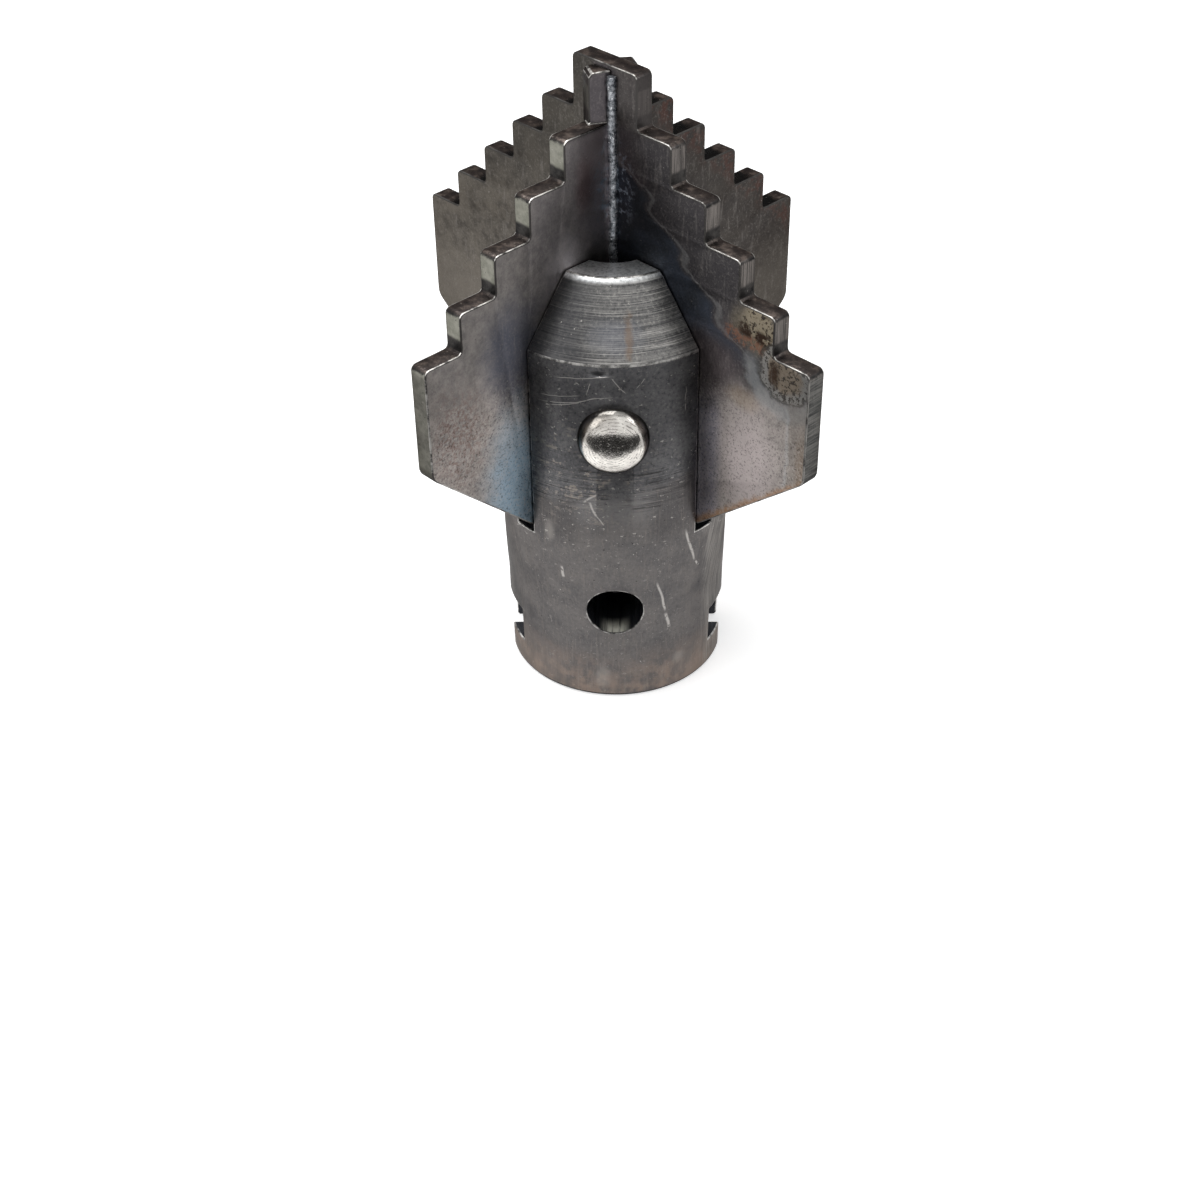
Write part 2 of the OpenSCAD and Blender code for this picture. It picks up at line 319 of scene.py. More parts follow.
    # Flecks where the coat has chipped: most lie beside and below the rivet
    chipped = steel.times(
        steel.spot(steel.x, steel.z, (-2.2, 25.0), (7.5, 7.5), 0.6),
        steel.fade(steel.grain(0.5, 3.0), 0.4, 0.55))
    chips = steel.grain(2.1, 3.0, 0.6, stretch=(1.5, 1.5, 1), shift=(6, 0, 2))
    colour = steel.tint(
        steel.times(steel.fade(chips, 0.57, 0.62), chipped, 0.6), colour, (0.36, 0.315, 0.275))
    flecks = steel.grain(2.4, 3.0, 0.65, stretch=(1.3, 1.3, 1), shift=(1, 6, 5))
    colour = steel.tint(
        steel.times(steel.fade(flecks, 0.645, 0.685), steel.fade(steel.z, cone_base, cone_base - 0.4),
                    steel.fade(steel.z, 13.0, 20.0, 0.2, 0.75)),
        colour, (0.42, 0.40, 0.375))
    scored = steel.times(steel.band(steel.z, 23.6, 1.6, 1.2), steel.fade(steel.grain(0.5, 3.0), 0.36, 0.5))
    threads = steel.grain(1.0, 4.0, 0.75, stretch=(5, 5, 0.11), shift=(2, 2, 7))
    colour = steel.tint(
        steel.times(steel.fade(threads, 0.48, 0.38), scored, 0.8), colour, (0.028, 0.026, 0.027))
    colour = steel.tint(
        steel.times(steel.fade(threads, 0.56, 0.64), scored, 0.5), colour, (0.30, 0.27, 0.25))
    for middle, size in (((-1.2, 2.4), (0.95, 1.9)), ((5.7, 3.3), (0.7, 0.9)), ((-5.6, 18.6), (0.6, 1.6))):
        rubbed = steel.times(steel.spot(steel.x, steel.z, middle, size, 0.7, 1.1), front)
        colour = steel.tint(steel.times(rubbed, 0.4), colour, (0.30, 0.28, 0.26))

    sparks = steel.specks(3.4, 0.745, 0.79, (7, 3, 1))
    colour = steel.tint(steel.times(sparks, 0.7), colour, (0.5, 0.48, 0.45))
    gloss_loss = steel.plus(
        steel.fade(mottle, 0.2, 0.8, 0.36, 0.5), steel.times(bare, -0.05), steel.times(coated, -0.03))
    steel.coat(colour, gloss_loss)
    steel.carve(steel.times(hairs, bare), 0.008)
    steel.carve(speckle, 0.01)
    steel.carve(steel.times(wheel, ground), 0.01)
    steel.carve(pit, -0.25)
    return steel.material


def rubbed_edge():
    edge = Finish("rubbed_steel_edge", 0.95, 0.34)
    wear = edge.grain(0.9, 5.0, 0.75)
    share = edge.plus(wear, edge.fade(edge.x, 2.0, 8.0, 0.0, 0.08))
    bright = edge.plus(edge.fade(edge.z, 33.0, 34.0, 0.62, 0.42), edge.fade(edge.z, 40.0, 41.0, 0.0, 0.4))
    colour = edge.tint(
        edge.times(edge.fade(share, 0.4, 0.62), bright), (0.085, 0.083, 0.081), (0.75, 0.73, 0.70))
    colour = edge.tint(edge.fade(edge.z, 0.6, 0.2), colour, (0.03, 0.03, 0.031))
    edge.coat(colour)
    edge.carve(edge.grain(4.0, 3.0), 0.02)
    return edge.material


def milled_cut():
    cut = Finish("milled_cut", 0.6, 0.36)
    chatter = cut.grain(1.0, 4.0, 0.7, stretch=(0.4, 6.0, 0.25))
    colour = cut.tint(cut.fade(chatter, 0.35, 0.65), (0.012, 0.013, 0.017), (0.036, 0.037, 0.042))
    # Painted light on the key hole's lower wall, near its opening
    painted_light_in_mouth = cut.times(
        cut.fade(cut.y, -7.6, -9.2), cut.fade(cut.maths("ABSOLUTE", cut.x), 1.5, 0.4),
        cut.fade(cut.z, 9.6, 8.4))
    colour = cut.tint(cut.times(painted_light_in_mouth, cut.fade(chatter, 0.3, 0.6)), colour, (0.95, 0.94, 0.82))
    cut.coat(colour)
    cut.carve(chatter, 0.03)
    return cut.material


def is_body_cut(face):
    """Slots, holes and the T-slot, but not the turned outside, the flats, the ring and the lower face."""
    height = face.center.z / MM
    flat = abs(face.normal.z) > 0.99 and (height < 0.1 or height > nose_top - 0.1)
    looks_out = face.normal.xy.dot(face.center.xy.normalized()) > 0.6
    wall = looks_out and face.center.xy.length > 0.6 * flat_half * MM
    return not (flat or wall)


body_finishes = (blackened_steel(), rubbed_edge(), milled_cut())
body = stoned_copy("coupling_body", "coupling_body_skin", stoned_width, is_body_cut, body_finishes)
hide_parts("coupling_body")
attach(body, "root")

# The two blades are sheared from 1.8 mm spring steel plate, with a stair of teeth along both
# sides, and lapped into a cross. The heat of welding has run over them in blue, purple and brown.
# Pale blue and mauve patches low on the front wings, and darker ones above them, are painted
# reflections, with painted shade beside the body. Shearing and use have left their upper and
# outer corners bright, and a painted highlight adds to the upward and outer ones.

step_height = 52.4
tooth_rise = 3.55
stair_slope = 1.065


def tinted_plate_and_painted_reflections():
    plate = Finish("heat_tint_and_painted_reflections", 0.95, 0.34)
    front = plate.fade(plate.y, 0.5, -0.5)
    right = plate.fade(plate.x, -0.5, 0.5)
    left = plate.plus(1.0, plate.times(right, -1.0))
    out = plate.maths("SQRT", plate.plus(plate.times(plate.x, plate.x), plate.times(plate.y, plate.y)))
    cloud = plate.grain(0.22, 5.0, 0.6)
    mottle = plate.grain(1.1, 5.0, 0.7)
    fine = plate.grain(5.0, 4.0, 0.65)
    soft = plate.fade(mottle, 0.3, 0.7)
    rolled = plate.grain(1.0, 4.0, 0.7, stretch=(0.5, 0.5, 3.0))

    # How far a place lies outside the line through the notches, in millimetres along the wing
    stair = plate.plus(out, plate.times(plate.plus(plate.z, -step_height), stair_slope), -3.6)
    swell = plate.times(
        plate.maths("SINE", plate.times(plate.plus(plate.z, 1.2), 2 * math.pi / tooth_rise)), 0.7)

    # The wings behind stay olive brown, with rusty tooth tips on the right one
    olive = plate.tint(soft, (0.052, 0.047, 0.042), (0.098, 0.088, 0.077))
    olive = plate.tint(plate.times(plate.fade(cloud, 0.42, 0.62), 0.6), olive, (0.12, 0.107, 0.091))
    low_down = plate.fade(plate.z, 37.0, 29.0)
    olive = plate.tint(plate.times(low_down, 0.7), olive, (0.155, 0.14, 0.122))
    olive = plate.tint(plate.times(plate.fade(plate.z, 38.0, 50.0), 0.6), olive, (0.036, 0.034, 0.031))
    right_share = plate.times(right, plate.fade(plate.z, 36.0, 30.0, 0.66, 0.45))
    olive = plate.tint(right_share, olive, (0.030, 0.027, 0.027))
    rusty = plate.times(plate.fade(stair, -2.2, 0.6), plate.fade(mottle, 0.42, 0.6), right)
    olive = plate.tint(plate.times(rusty, 0.6), olive, (0.07, 0.036, 0.03))

    # The front ones are grey brown low down, and darker and more purple towards the tip
    grey = plate.tint(soft, (0.18, 0.163, 0.154), (0.285, 0.256, 0.238))
    height = plate.plus(plate.z, plate.times(plate.plus(cloud, -0.5), 9.0))
    dull = plate.tint(soft, (0.135, 0.126, 0.122), (0.215, 0.198, 0.188))
    dull = plate.tint(plate.times(right, 0.87), dull, (0.024, 0.0225, 0.026))
    grey = plate.tint(plate.fade(height, 33.0, 37.5), grey, dull)
    by_weld = plate.times(
        plate.fade(out, 6.0, 2.5), plate.fade(plate.z, 41.0, 45.0),
        plate.tint(right, (1, 1, 1), (0.1, 0.1, 0.1)))
    grey = plate.tint(plate.times(by_weld, 0.8), grey, (0.36, 0.315, 0.325))
    tip = plate.fade(plate.z, step_height - 0.5, step_height + 0.1)
    burnt_tip = plate.tint(soft, (0.044, 0.040, 0.039), (0.066, 0.060, 0.058))
    grey = plate.tint(plate.times(tip, 0.9), grey, burnt_tip)
    colour = plate.tint(front, olive, grey)

    # Painted reflections low on the front wings: lighter patches, blue on the left and mauve on the
    # right, darker ones above them, and painted shade beside the body on the right
    # A darker painted reflection above the blue one on the left wing
    left_wing_dark_reflection = plate.times(plate.spot(out, plate.z, (12.4, 36.0), (4.6, 7.0), 0.5), front, left)
    colour = plate.tint(plate.times(left_wing_dark_reflection, 0.85), colour, (0.078, 0.083, 0.108))
    left_wing_blue_reflection = plate.times(plate.spot(out, plate.z, (12.2, 22.0), (5.4, 11.4), 0.4), front, left)
    colour = plate.tint(left_wing_blue_reflection, colour, (0.225, 0.30, 0.365))
    rosy = plate.times(plate.spot(out, plate.z, (18.4, 30.6), (4.2, 6.6), 0.6), front, left)
    colour = plate.tint(
        plate.times(rosy, plate.fade(plate.grain(2.6, 4.0, 0.7, shift=(1, 1, 7)), 0.46, 0.56), 0.7),
        colour, (0.16, 0.112, 0.098))
    # The mauve one on the right wing is a painted reflection too
    right_wing_mauve_reflection = plate.times(plate.spot(out, plate.z, (16.4, 27.5), (4.6, 8.0), 0.5), front, right)
    colour = plate.tint(plate.times(right_wing_mauve_reflection, 0.85), colour, (0.325, 0.285, 0.28))
    # Painted shade low beside the body on the right wing
    shade = plate.times(plate.fade(out, 14.0, 12.4), plate.fade(plate.z, 34.0, 30.0), front, right)
    colour = plate.tint(plate.times(shade, 0.8), colour, (0.21, 0.20, 0.235))
    # A darker painted reflection higher up beside the body on the right wing
    right_wing_dark_reflection = plate.times(plate.spot(out, plate.z, (12.2, 35.6), (5.0, 5.6), 0.5), front, right)
    colour = plate.tint(plate.times(right_wing_dark_reflection, 0.9), colour, (0.074, 0.062, 0.066))
    plum = plate.times(plate.spot(out, plate.z, (4.0, 48.0), (1.6, 3.4), 0.7), front, left)
    colour = plate.tint(plate.times(plum, 0.6), colour, (0.14, 0.075, 0.07))
    ochre = plate.times(plate.spot(out, plate.z, (15.6, 33.2), (2.4, 1.6), 0.7), front, right)
    colour = plate.tint(plate.times(ochre, 0.5), colour, (0.20, 0.155, 0.11))

    # A tide line of dark blue follows the teeth on the front right wing, one tooth further in
    tide = plate.plus(stair, swell, plate.times(plate.plus(plate.grain(0.5, 4.0), -0.5), 2.4))
    on_right = plate.times(front, right)
    dark = plate.times(
        plate.fade(tide, -4.3, -5.4), plate.fade(plate.plus(plate.z, plate.times(cloud, 4.0)), 38.0, 41.5))
    navy = plate.tint(plate.fade(cloud, 0.35, 0.62), (0.026, 0.029, 0.034), (0.036, 0.043, 0.058))
    colour = plate.tint(plate.times(dark, on_right, 0.92), colour, navy)
    line = plate.times(plate.band(tide, -4.2, 0.08, 0.3), plate.fade(plate.z, 36.0, 39.0), on_right)
    colour = plate.tint(plate.times(line, 0.4), colour, (0.17, 0.17, 0.17))

    # Rust on the front right wing: a patch by the lower teeth, a pale ring round it, a seam below
    patch = plate.times(plate.spot(out, plate.z, (17.3, 40.2), (3.6, 2.9), 0.8), on_right)
    crust = plate.grain(2.2, 4.0, 0.75, shift=(2, 5, 8))
    colour = plate.tint(plate.times(patch, 0.9), colour, (0.23, 0.195, 0.14))
    colour = plate.tint(plate.times(patch, plate.fade(crust, 0.49, 0.42)), colour, (0.030, 0.024, 0.020))
    along = plate.plus(plate.z, plate.times(plate.plus(out, -14.0), 0.1), -38.9)
    streak = plate.times(plate.band(along, 0.0, 0.35, 0.6), plate.band(out, 16.0, 1.8, 1.0), on_right)
    colour = plate.tint(
        plate.times(streak, plate.fade(crust, 0.44, 0.54), 0.85), colour, (0.16, 0.078, 0.052))
    burnt = plate.times(plate.band(along, 0.9, 0.3, 0.5), plate.band(out, 16.8, 1.3, 0.8), on_right)
    colour = plate.tint(
        plate.times(burnt, plate.fade(mottle, 0.42, 0.5)), colour, (0.028, 0.017, 0.012))
    ring_across = plate.times(plate.plus(out, -20.0), 0.78)
    ring_up = plate.times(plate.plus(plate.z, -37.2), 0.8)
    ring_reach = plate.maths(
        "SQRT", plate.plus(plate.times(ring_across, ring_across), plate.times(ring_up, ring_up)))
    ring_reach = plate.plus(ring_reach, plate.times(plate.plus(plate.grain(0.9, 5.0, 0.6), -0.5), 1.1))
    inside = plate.times(plate.fade(ring_reach, 2.1, 1.9), on_right)
    centre = plate.times(plate.fade(ring_reach, 1.6, 1.1), on_right)
    colour = plate.tint(plate.times(inside, 0.8), colour, (0.20, 0.195, 0.185))
    colour = plate.tint(plate.times(centre, 0.85), colour, (0.165, 0.132, 0.098))
    pits = plate.times(inside, plate.fade(plate.grain(3.0, 3.0, 0.7), 0.52, 0.57))
    colour = plate.tint(plate.times(pits, 0.9), colour, (0.034, 0.030, 0.027))
    heart = plate.times(plate.spot(out, plate.z, (18.95, 36.9), (0.8, 1.7), 0.7, 1.2), on_right)
    colour = plate.tint(heart, colour, (0.036, 0.023, 0.016))
    dark_line = plate.times(plate.band(ring_reach, 2.1, 0.03, 0.14), on_right)
    colour = plate.tint(plate.times(dark_line, 0.75), colour, (0.035, 0.033, 0.030))
    halo = plate.times(plate.band(ring_reach, 2.75, 0.25, 0.6), plate.fade(plate.z, 38.5, 36.5), on_right)
    colour = plate.tint(plate.times(halo, 0.5), colour, (0.235, 0.245, 0.25))
    shore = plate.plus(out, plate.times(plate.plus(plate.grain(0.8, 4.0), -0.5), 1.0))
    # A thin painted highlight along the outer edge, low on the front right wing
    outer_edge_highlight = plate.times(
        plate.band(shore, 20.6, 0.05, 0.25), plate.fade(plate.z, 35.0, 33.0), on_right)
    colour = plate.tint(plate.times(outer_edge_highlight, 0.3), colour, (0.36, 0.37, 0.38))
    rim = plate.times(plate.fade(shore, 20.5, 20.9), plate.fade(plate.z, 36.0, 34.0), on_right)
    colour = plate.tint(plate.times(rim, 0.4), colour, (0.16, 0.14, 0.12))
    taper = plate.plus(plate.z, plate.times(out, -0.79), -9.7)
    seam = plate.times(
        plate.fade(plate.plus(taper, plate.times(mottle, 1.6)), 2.1, 1.2), on_right)
    colour = plate.tint(plate.times(seam, 0.85), colour, (0.26, 0.155, 0.09))
    side_seam = plate.times(
        plate.fade(plate.plus(out, plate.times(mottle, -1.0)), 20.6, 21.6),
        plate.fade(plate.z, 34.0, 30.0), on_right)
    colour = plate.tint(plate.times(side_seam, 0.5), colour, (0.20, 0.15, 0.11))

    # Blue weld spatter beside the front bead
    beside = plate.spot(out, plate.z, (1.4, 47.0), (2.6, 5.5), 0.5)
    spatter = plate.times(beside, plate.fade(plate.grain(1.8, 4.0, 0.7), 0.5, 0.64), front)
    colour = plate.tint(plate.times(spatter, 0.8), colour, (0.30, 0.35, 0.41))
    purple = plate.times(plate.fade(plate.z, 36.0, 41.0), plate.fade(out, 12.0, 8.0), front, left)
    colour = plate.tint(plate.times(purple, 0.22), colour, (0.085, 0.076, 0.10))
    scorched = plate.times(plate.spot(out, plate.z, (6.5, 40.5), (3.2, 5.0), 0.7), front, left)
    colour = plate.tint(plate.times(scorched, 0.6), colour, (0.30, 0.28, 0.29))

    # Rolling marks, pale and dark specks, and pinpoint sparks
    rolled_share = plate.fade(plate.times(dark, on_right), 0.0, 1.0, 0.16, 0.0)
    colour = plate.tint(
        plate.times(plate.fade(rolled, 0.54, 0.68), rolled_share), colour, (0.26, 0.24, 0.225))
    open_share = plate.fade(plate.times(dark, on_right), 0.0, 1.0, 1.0, 0.3)
    low_front = plate.fade(plate.times(front, plate.fade(plate.z, 36.0, 30.0)), 0.0, 1.0, 0.12, 0.62)
    colour = plate.tint(
        plate.times(plate.fade(fine, 0.53, 0.66), open_share, low_front), colour, (0.32, 0.30, 0.28))
    colour = plate.tint(
        plate.times(plate.fade(fine, 0.47, 0.34), low_front), colour, (0.022, 0.022, 0.024))
    colour = plate.tint(
        plate.times(plate.specks(7.0, 0.32, 0.26, (4, 1, 6)), 0.4), colour, (0.012, 0.012, 0.013))
    colour = plate.tint(
        plate.times(plate.specks(4.4, 0.745, 0.8, (9, 5, 2)), 0.6), colour, (0.45, 0.43, 0.41))
    plate.coat(colour, plate.fade(cloud, 0.25, 0.75, 0.28, 0.42))
    plate.carve(mottle, 0.015)
    plate.carve(fine, 0.015)
    return plate.material


def sheared_edge():
    """Worn steel with a painted highlight where the teeth's corners face up and along the straight outer
    ones, strongest on the front left wing; dark down their sides.
    """
    edge = Finish("sheared_edge_wear_and_highlight", 0.95, 0.32)
    wear = edge.fade(edge.grain(0.6, 5.0, 0.75), 0.36, 0.6)
    # Painted highlight where an edge faces up and along the straight outer edges, weaker on the right wing
    # and faint on the back ones; the wear noise breaks it up
    upward_highlight = edge.fade(edge.lean_z, 0.22, 0.55)
    straight = edge.times(edge.fade(edge.z, 38.0, 37.4), 0.55)
    front = edge.fade(edge.y, 0.5, -0.5, 0.12, 1.0)
    left = edge.fade(edge.x, 0.5, -0.5, 0.6, 1.0)
    share = edge.times(edge.maths("MAXIMUM", upward_highlight, straight), wear, front, left)
    colour = edge.tint(share, (0.050, 0.047, 0.045), (0.60, 0.58, 0.55))
    edge.coat(colour)
    edge.carve(edge.grain(4.0, 3.0), 0.015)
    return edge.material


def sheared_face():
    """The narrow faces: brown on top, pale below each tooth's corner as a painted reflection, and painted
    shade under that.
    """
    face = Finish("sheared_face", 0.95, 0.36)
    mottle = face.grain(1.1, 5.0, 0.7)
    streaks = face.grain(1.0, 4.0, 0.7, stretch=(0.16, 0.16, 5.0))
    right = face.fade(face.x, -0.5, 0.5)
    front = face.fade(face.y, 0.5, -0.5)
    upward = face.fade(face.lean_z, 0.5, 0.85)
    downward = face.fade(face.lean_z, -0.3, -0.55)
    fall = face.maths("FRACT", face.times(face.plus(step_height, face.times(face.z, -1.0)), 1 / tooth_rise))
    fall = face.plus(fall, face.times(face.plus(mottle, -0.5), 0.16))
    # Painted light and shade on each riser: a pale lit band below the tooth's corner, painted shade above
    # and below it
    lit_riser_band = face.times(face.fade(fall, 0.07, 0.13), face.fade(face.fade(fall, 0.6, 0.74), 1.0, 0.0))
    straight = face.fade(face.z, 38.0, 37.4)
    crown = face.fade(face.z, step_height - 0.4, step_height + 0.2)

    dark_painted_shade = face.tint(face.fade(mottle, 0.3, 0.7), (0.018, 0.0175, 0.018), (0.052, 0.049, 0.047))
    pale = face.tint(face.fade(mottle, 0.35, 0.65), (0.155, 0.155, 0.13), (0.23, 0.225, 0.195))
    grey = face.tint(face.fade(streaks, 0.35, 0.65), (0.050, 0.046, 0.044), (0.155, 0.14, 0.13))
    lit_riser_colour = face.tint(right, pale, grey)
    colour = face.tint(lit_riser_band, dark_painted_shade, lit_riser_colour)
    shear = face.grain(1.0, 4.0, 0.7, stretch=(2.5, 2.5, 0.14), shift=(3, 0, 6))
    side = face.tint(face.fade(shear, 0.34, 0.66), (0.040, 0.041, 0.041), (0.135, 0.132, 0.125))
    side_left = face.tint(face.fade(mottle, 0.34, 0.66), (0.075, 0.073, 0.064), (0.125, 0.12, 0.105))
    side = face.tint(right, side_left, side)
    colour = face.tint(face.times(straight, 0.85), colour, side)
    # The back wings' narrow faces take the dark painted shade all over
    colour = face.tint(face.plus(1.0, face.times(front, -1.0)), colour, dark_painted_shade)
    colour = face.tint(face.times(crown, 0.8), colour, (0.048, 0.043, 0.042))
    top = face.tint(face.fade(mottle, 0.35, 0.7), (0.034, 0.029, 0.028), (0.078, 0.064, 0.057))
    top = face.tint(face.times(face.fade(mottle, 0.5, 0.66), 0.5), top, (0.15, 0.12, 0.105))
    out = face.maths("SQRT", face.plus(face.times(face.x, face.x), face.times(face.y, face.y)))
    stair = face.plus(out, face.times(face.plus(face.z, -step_height), stair_slope), -3.6)
    # Painted shade, near black, on the back wings' treads by each tooth's root
    back_root_shade = face.times(face.fade(stair, 1.7, 0.6), face.fade(face.y, -0.5, 0.5))
    top = face.tint(face.times(back_root_shade, 0.9), top, (0.008, 0.008, 0.008))
    colour = face.tint(upward, colour, top)
    under = face.tint(face.fade(mottle, 0.35, 0.7), (0.030, 0.031, 0.033), (0.075, 0.073, 0.072))
    colour = face.tint(downward, colour, under)
    colour = face.tint(
        face.times(face.specks(4.4, 0.33, 0.27, (2, 7, 4)), 0.6), colour, (0.010, 0.010, 0.010))
    colour = face.tint(face.times(face.specks(4.4, 0.71, 0.76), 0.5), colour, (0.40, 0.37, 0.34))
    face.coat(colour)
    face.carve(streaks, 0.02)
    face.carve(face.grain(3.0, 4.0), 0.02)
    return face.material


blade_finishes = (tinted_plate_and_painted_reflections(), sheared_edge(), sheared_face())
for node, across in (
    ("blade_lapped_below", Vector((1, 1, 0)).normalized()),
    ("blade_lapped_above", Vector((1, -1, 0)).normalized()),
):
    blade = stoned_copy(
        node, node + "_skin", stoned_width, lambda face: abs(face.normal.dot(across)) < 0.8,
        blade_finishes)
    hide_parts(node)
    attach(blade, "root")

# The cross rivet is a soft steel pin, driven through the body and both blades and set into a
# polished dome at each end. Each dome is turned from its profile and sits on the round wall.

rivet_height = (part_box("cross_rivet")[0].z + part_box("cross_rivet")[1].z) / 2
rivet_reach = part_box("cross_rivet")[1].y
head_radius = 3.05 * MM
shank_radius = 2.0 * MM
dome_rise = 1.7 * MM
dome_flatness = 2.7
dome_steps = 24
dome_sides = 96
head_in_wall = 1.3 * MM


def polished_rivet():
    steel = Finish("polished_rivet_steel", 1.0, 0.16)
    cloud = steel.grain(1.2, 4.0, 0.6)
    pits = steel.fade(steel.grain(7.0, 2.0, 0.5), 0.36, 0.28)
    colour = steel.tint(steel.fade(cloud, 0.3, 0.7), (0.56, 0.535, 0.50), (0.74, 0.715, 0.67))
    colour = steel.tint(steel.times(pits, 0.7), colour, (0.12, 0.10, 0.09))
    away = steel.plus(steel.z, -rivet_height / MM)
    from_axis = steel.maths("SQRT", steel.plus(steel.times(steel.x, steel.x), steel.times(away, away)))
    turning = steel.grain(3.0, 3.0, 0.6, stretch=(1.6, 1, 0.6))
    rings = steel.maths("SINE", steel.plus(steel.times(from_axis, 26.0), steel.times(turning, 9.0)))
    scored = steel.times(steel.fade(rings, 0.45, 0.9), steel.fade(turning, 0.42, 0.56))
    colour = steel.tint(steel.times(scored, 0.7), colour, (0.14, 0.13, 0.12))
    # A painted dark reflection band across the dome, just above its middle
    painted_reflection_band = steel.times(steel.band(away, 0.35, 0.35, 0.5), steel.fade(cloud, 0.3, 0.5))
    colour = steel.tint(steel.times(painted_reflection_band, 0.6), colour, (0.10, 0.095, 0.09))
    # Painted shade, brown, on the upper left of the dome
    brown = steel.times(
        steel.fade(from_axis, 1.7, 2.7), steel.fade(away, 0.0, 1.0), steel.fade(steel.x, 0.5, -1.0))
    colour = steel.tint(steel.times(brown, 0.6), colour, (0.16, 0.135, 0.11))
    # Painted shade round the dome's rim
    colour = steel.tint(steel.times(steel.fade(from_axis, 2.55, 2.95), 0.8), colour, (0.09, 0.085, 0.08))
    steel.coat(colour, steel.fade(cloud, 0.3, 0.7, 0.14, 0.24))
    steel.carve(steel.grain(3.0, 3.0), 0.01)
    steel.carve(pits, -0.01)
    return steel.material


def rivet_head(side):
    """A flattened dome, turned about the rivet's axis and hammered slightly low and tall."""
    profile = []
    for step in range(dome_steps + 1):
        reach = head_radius * math.sin(math.pi / 2 * step / dome_steps)
        drop = dome_rise * (1 - math.sqrt(1 - min(1, (reach / head_radius) ** dome_flatness)))
        profile.append((0, side * (rivet_reach - drop), rivet_height + reach))
    seat = side * (rivet_reach - dome_rise - head_in_wall)
    profile.append((0, seat, rivet_height + head_radius))
    profile.append((0, seat, rivet_height))
    mesh = bpy.data.meshes.new("rivet_head")
    mesh.from_pydata(profile, [(step, step + 1) for step in range(len(profile) - 1)], [])
    head = bpy.data.objects.new("rivet_head", mesh)
    bpy.context.scene.collection.objects.link(head)
    pick_out(head)
    bpy.ops.object.mode_set(mode="EDIT")
    bpy.ops.mesh.select_all(action="SELECT")
    bpy.ops.mesh.spin(steps=dome_sides, angle=2 * math.pi, center=(0, 0, rivet_height), axis=(0, 1, 0))
    bpy.ops.mesh.select_all(action="SELECT")
    bpy.ops.mesh.remove_doubles(threshold=1e-6)
    bpy.ops.mesh.normals_make_consistent(inside=False)
    bpy.ops.object.mode_set(mode="OBJECT")
    bpy.ops.object.shade_smooth_by_angle(angle=math.radians(40))
    hammered = Matrix.Diagonal((0.99, 1.0, 1.05, 1.0))
    low_centre = Vector((0, 0, rivet_height - 0.1 * MM))
    to_centre = Matrix.Translation((0, 0, -rivet_height))
    head.data.transform(Matrix.Translation(low_centre) @ hammered @ to_centre)
    return head


heads = [rivet_head(side) for side in (-1, 1)]
bpy.ops.object.select_all(action="DESELECT")
bpy.ops.mesh.primitive_cylinder_add(
    vertices=64, radius=shank_radius, depth=2 * (rivet_reach - 2 * MM),
    location=(0, 0, rivet_height), rotation=(math.pi / 2, 0, 0))
rivet = bpy.context.object
bpy.ops.object.transform_apply(location=True, rotation=True, scale=True)
for head in heads:
    head.select_set(True)
bpy.ops.object.join()
rivet.name = "cross_rivet_skin"
rivet.data.materials.append(polished_rivet())
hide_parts("cross_rivet")
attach(rivet, "root")

# Four weld beads run down the corners of the cross into the cone and tie the blades to each other.
# Each is a thin string of overlapping silvery ripples. The front and back ones start at the tip,
# and the left and right ones a tooth lower.

bead_sides = 14
ripple_pitch = 0.42
rings_in_ripple = 6
bead_radius = 0.4 * MM
bead_from_axis = 1.42 * MM
random.seed(7)


def weld_bead(node, turn):
    """A round bar along one corner, its rings swelled into ripples."""
    low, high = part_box(node)
    length = high.z - low.z
    corner = Vector((0, -bead_from_axis, 0))
    rings = int(length / MM / ripple_pitch * rings_in_ripple)
    bpy.ops.object.select_all(action="DESELECT")
    bpy.ops.mesh.primitive_cylinder_add(
        vertices=bead_sides, radius=bead_radius, depth=length,
        location=corner + Vector((0, 0, (low.z + high.z) / 2)))
    bead = bpy.context.object
    bpy.ops.object.transform_apply(location=True, rotation=True, scale=True)
    bpy.ops.object.mode_set(mode="EDIT")
    for step in range(1, rings):
        bpy.ops.mesh.select_all(action="SELECT")
        height = low.z + length * step / rings
        bpy.ops.mesh.bisect(plane_co=(0, 0, height), plane_no=(0, 0, 1))
    bpy.ops.object.mode_set(mode="OBJECT")
    sway = random.uniform(0, 10)
    for vertex in bead.data.vertices:
        height = vertex.co.z / MM
        arm = vertex.co - corner
        arm.z = 0
        ripple = abs(math.sin(math.pi * (height + 0.3 * arm.y / MM) / ripple_pitch))
        lump = noise.noise(Vector((arm.x / MM * 1.5, arm.y / MM * 1.5 + sway, height * 1.1)))
        swell = 1 + 0.1 * ripple + 0.22 * lump
        drift = 0.07 * MM * noise.noise(Vector((sway, height * 0.3, 0)))
        vertex.co.x = corner.x + arm.x * swell + drift
        vertex.co.y = corner.y + arm.y * swell
    bead.data.transform(Matrix.Rotation(turn, 4, "Z"))
    bpy.ops.object.shade_smooth_by_angle(angle=math.radians(60))
    bead.name = node + "_bead"
    return bead


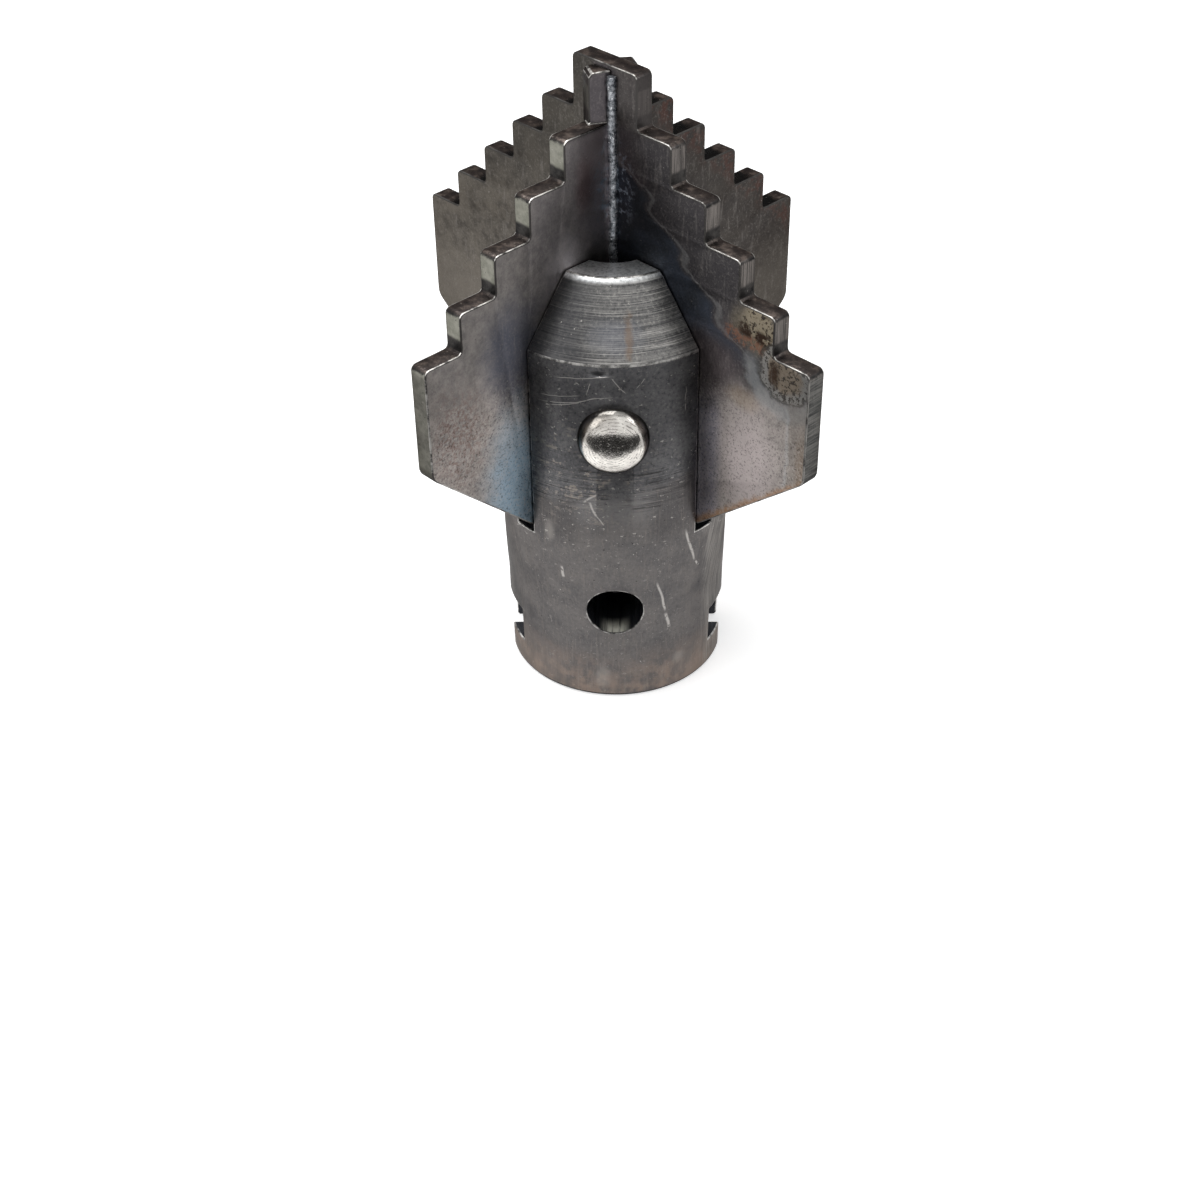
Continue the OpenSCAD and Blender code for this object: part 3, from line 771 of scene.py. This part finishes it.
def weld_metal():
    metal = Finish("rippled_weld_metal", 0.95, 0.38)
    lumps = metal.grain(2.2, 4.0, 0.65)
    # Painted glints: bright specks on the ripples
    painted_glints = metal.fade(metal.grain(6.0, 2.0), 0.58, 0.68)
    colour = metal.tint(metal.fade(lumps, 0.35, 0.65), (0.060, 0.068, 0.080), (0.36, 0.375, 0.40))
    colour = metal.tint(metal.times(painted_glints, 0.8), colour, (0.72, 0.73, 0.74))
    metal.coat(colour, metal.fade(lumps, 0.3, 0.7, 0.5, 0.3))
    metal.carve(lumps, 0.08)
    metal.carve(metal.grain(7.0, 3.0), 0.02)
    return metal.material


weld_finish = weld_metal()
for node, turn in (("weld_front", 0), ("weld_right", 90), ("weld_back", 180), ("weld_left", 270)):
    bead = weld_bead(node, math.radians(turn))
    bead.data.materials.append(weld_finish)
    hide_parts(node)
    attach(bead, "root")

# The studio: a white sweep to stand on, one broad softbox overhead, a smaller one at each side,
# and a dark card in front that gives the polished rivet its band.


def white_sweep(name, lift):
    """White paper that keeps shadows: a plain white, lifted for what looks at it or mirrors it."""
    paper = bpy.data.materials.new(name)
    paper.use_nodes = True
    tree = paper.node_tree
    tree.nodes.clear()
    sheet = tree.nodes.new("ShaderNodeBsdfDiffuse")
    sheet.inputs["Color"].default_value = (0.86, 0.86, 0.86, 1)
    glow = tree.nodes.new("ShaderNodeEmission")
    rays = tree.nodes.new("ShaderNodeLightPath")
    either = tree.nodes.new("ShaderNodeMath")
    either.operation = "MAXIMUM"
    seen = tree.nodes.new("ShaderNodeMath")
    seen.operation = "MAXIMUM"
    strength = tree.nodes.new("ShaderNodeMath")
    strength.operation = "MULTIPLY"
    strength.inputs[1].default_value = lift
    both = tree.nodes.new("ShaderNodeAddShader")
    output = tree.nodes.new("ShaderNodeOutputMaterial")
    tree.links.new(rays.outputs["Is Camera Ray"], either.inputs[0])
    tree.links.new(rays.outputs["Is Glossy Ray"], either.inputs[1])
    tree.links.new(either.outputs[0], seen.inputs[0])
    tree.links.new(rays.outputs["Is Transmission Ray"], seen.inputs[1])
    tree.links.new(seen.outputs[0], strength.inputs[0])
    tree.links.new(strength.outputs[0], glow.inputs["Strength"])
    tree.links.new(sheet.outputs[0], both.inputs[0])
    tree.links.new(glow.outputs[0], both.inputs[1])
    tree.links.new(both.outputs[0], output.inputs["Surface"])
    return paper


bpy.ops.object.select_all(action="DESELECT")
bpy.ops.mesh.primitive_plane_add(size=3.0, location=(0, 0, 0))
floor = bpy.context.object
floor.name = "floor"
floor.data.materials.append(white_sweep("white_paper", 0.5))

bpy.ops.mesh.primitive_plane_add(size=0.1, location=(0, -0.043, 0.0129), rotation=(math.pi / 2, 0, 0))
card = bpy.context.object
card.name = "dark_card"
card.dimensions = (0.12, 0.0254, 0)
black = bpy.data.materials.new("black_card")
black.use_nodes = True
black.node_tree.nodes["Principled BSDF"].inputs["Base Color"].default_value = (0.01, 0.01, 0.01, 1)
card.data.materials.append(black)
card.visible_camera = False
card.visible_shadow = False
card.visible_diffuse = False

for name, place, size, power in (
    ("softbox_above", (-0.12, 0.05, 0.55), 0.40, 2.4),
    ("softbox_left", (-0.42, -0.25, 0.30), 0.30, 0.5),
    ("softbox_right", (0.45, -0.12, 0.35), 0.22, 0.5),
):
    lamp = bpy.data.lights.new(name, "AREA")
    lamp.shape = "SQUARE"
    lamp.size = size
    lamp.energy = power
    softbox = bpy.data.objects.new(name, lamp)
    bpy.context.scene.collection.objects.link(softbox)
    aim = Vector((0, 0, 0.03)) - Vector(place)
    softbox.matrix_world = Matrix.Translation(place) @ aim.to_track_quat("-Z", "Y").to_matrix().to_4x4()

world = bpy.data.worlds.new("studio_air")
bpy.context.scene.world = world
world.use_nodes = True
air = world.node_tree
air_rays = air.nodes.new("ShaderNodeLightPath")
air_seen = air.nodes.new("ShaderNodeMath")
air_seen.operation = "MAXIMUM"
air_either = air.nodes.new("ShaderNodeMath")
air_either.operation = "MAXIMUM"
air_strength = air.nodes.new("ShaderNodeMapRange")
air_strength.inputs["To Min"].default_value = 0.45
air_strength.inputs["To Max"].default_value = 1.0
air.links.new(air_rays.outputs["Is Camera Ray"], air_either.inputs[0])
air.links.new(air_rays.outputs["Is Glossy Ray"], air_either.inputs[1])
air.links.new(air_either.outputs[0], air_seen.inputs[0])
air.links.new(air_rays.outputs["Is Transmission Ray"], air_seen.inputs[1])
air.links.new(air_seen.outputs[0], air_strength.inputs["Value"])
air.links.new(air_strength.outputs[0], air.nodes["Background"].inputs["Strength"])
air.nodes["Background"].inputs["Color"].default_value = (1, 1, 1, 1)

# The camera looks down on the rivet's side from a hand's height, tilted a trace, as the picture
# was taken: its place, aim and lens were solved from the corners of the teeth, cone and body.

camera_data = bpy.data.cameras.new("camera")
camera_data.sensor_width = 36.0
camera_data.lens = 59.60
camera_data.clip_start = 0.005
camera = bpy.data.objects.new("camera", camera_data)
bpy.context.scene.collection.objects.link(camera)
camera_place = Vector((1.80, -148.46, 118.97)) * MM
look_down = math.radians(37.864)
look_round = math.radians(1.292)
camera_roll = math.radians(-0.839)
aim = Euler((math.pi / 2 - look_down, 0, look_round)).to_matrix().to_4x4()
camera.matrix_world = Matrix.Translation(camera_place) @ aim @ Matrix.Rotation(camera_roll, 4, "Z")
bpy.context.scene.camera = camera
bpy.context.scene.view_settings.view_transform = "Standard"
